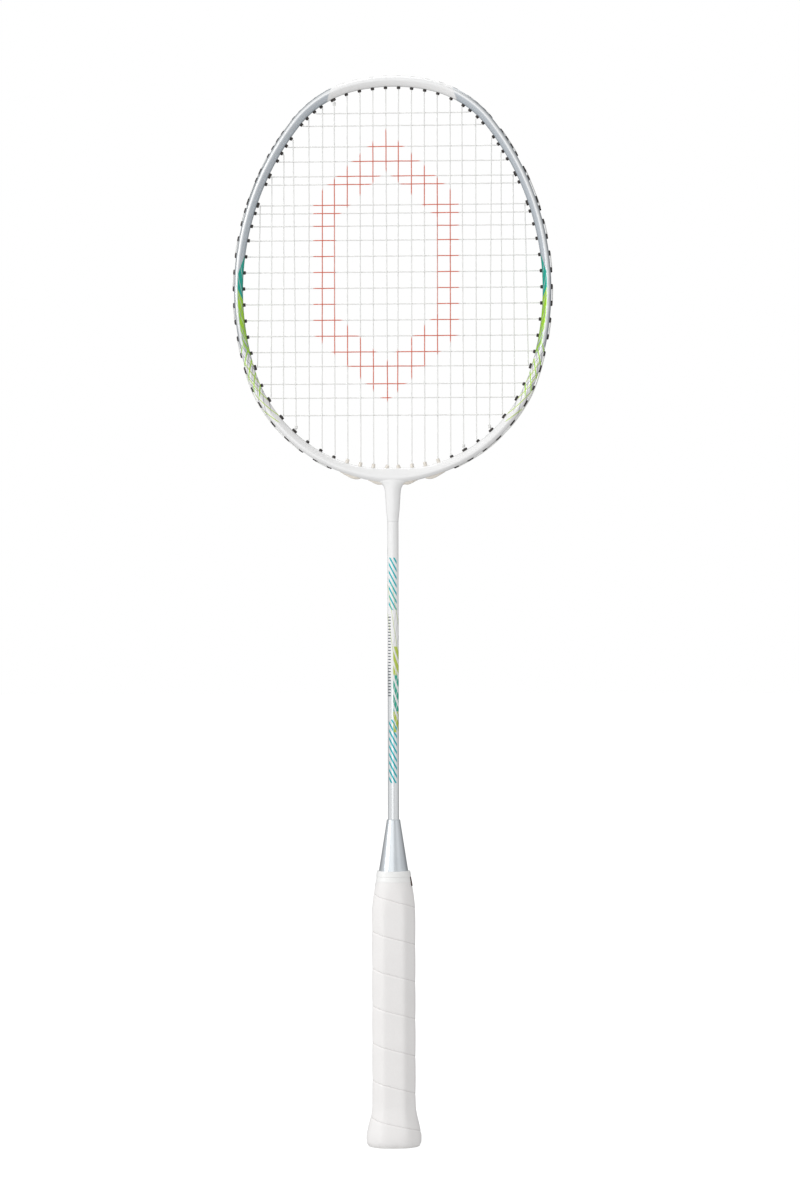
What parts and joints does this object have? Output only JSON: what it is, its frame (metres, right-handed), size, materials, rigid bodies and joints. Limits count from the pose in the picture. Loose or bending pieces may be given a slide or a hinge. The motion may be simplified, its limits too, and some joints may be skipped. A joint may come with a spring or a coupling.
{
  "type": "badminton racket",
  "caption": "Strung badminton racket with an oval hollow head frame, slim round shaft, cone cap and taped octagonal handle.",
  "frame": {"origin": "middle of the flat butt face at the end of the handle", "axes": "+Z from the butt up to the crown of the head, X across the string bed, Y through it"},
  "size_m": [0.2038, 0.0314, 0.6758],
  "materials": {
    "frame_lacquer": "white and silver gloss lacquer with teal and lime graphics over carbon composite",
    "shaft_lacquer": "white to silver gloss lacquer over a carbon tube",
    "silver_plastic": "silver-painted moulded plastic",
    "handle_wood": "bare sawn and turned wood",
    "cap_plastic": "white moulded plastic",
    "grip_pu": "white embossed synthetic leather tape",
    "tape_vinyl": "thin white vinyl tape",
    "nylon_string": "white coated multifilament nylon with a red-orange stencil",
    "clear_nylon": "translucent moulded nylon",
    "black_nylon": "black moulded nylon"
  },
  "bodies": {
    "root": {"butt_cap": "cap_plastic", "cone_cap": "silver_plastic", "cross_end_knot": "nylon_string", "cross_start_knot": "nylon_string", "cross_string": "nylon_string", "crown_grommets": "black_nylon", "finishing_tape": "tape_vinyl", "grip_tape": "grip_pu", "handle_core": "handle_wood", "head_frame": "frame_lacquer", "heel_strip_inner_left": "clear_nylon", "heel_strip_inner_right": "clear_nylon", "heel_strip_outer_left": "clear_nylon", "heel_strip_outer_right": "clear_nylon", "lower_grommets_left": "black_nylon", "lower_grommets_right": "black_nylon", "main_knot_left": "nylon_string", "main_knot_right": "nylon_string", "main_string": "nylon_string", "shaft": "shaft_lacquer", "shared_grommets_left": "black_nylon", "shared_grommets_right": "black_nylon", "shoulder_grommets_left": "black_nylon", "shoulder_grommets_right": "black_nylon", "side_grommets_left": "black_nylon", "side_grommets_right": "black_nylon", "t_joint": "frame_lacquer", "tie_off_grommets": "black_nylon"}
  },
  "joints": []
}
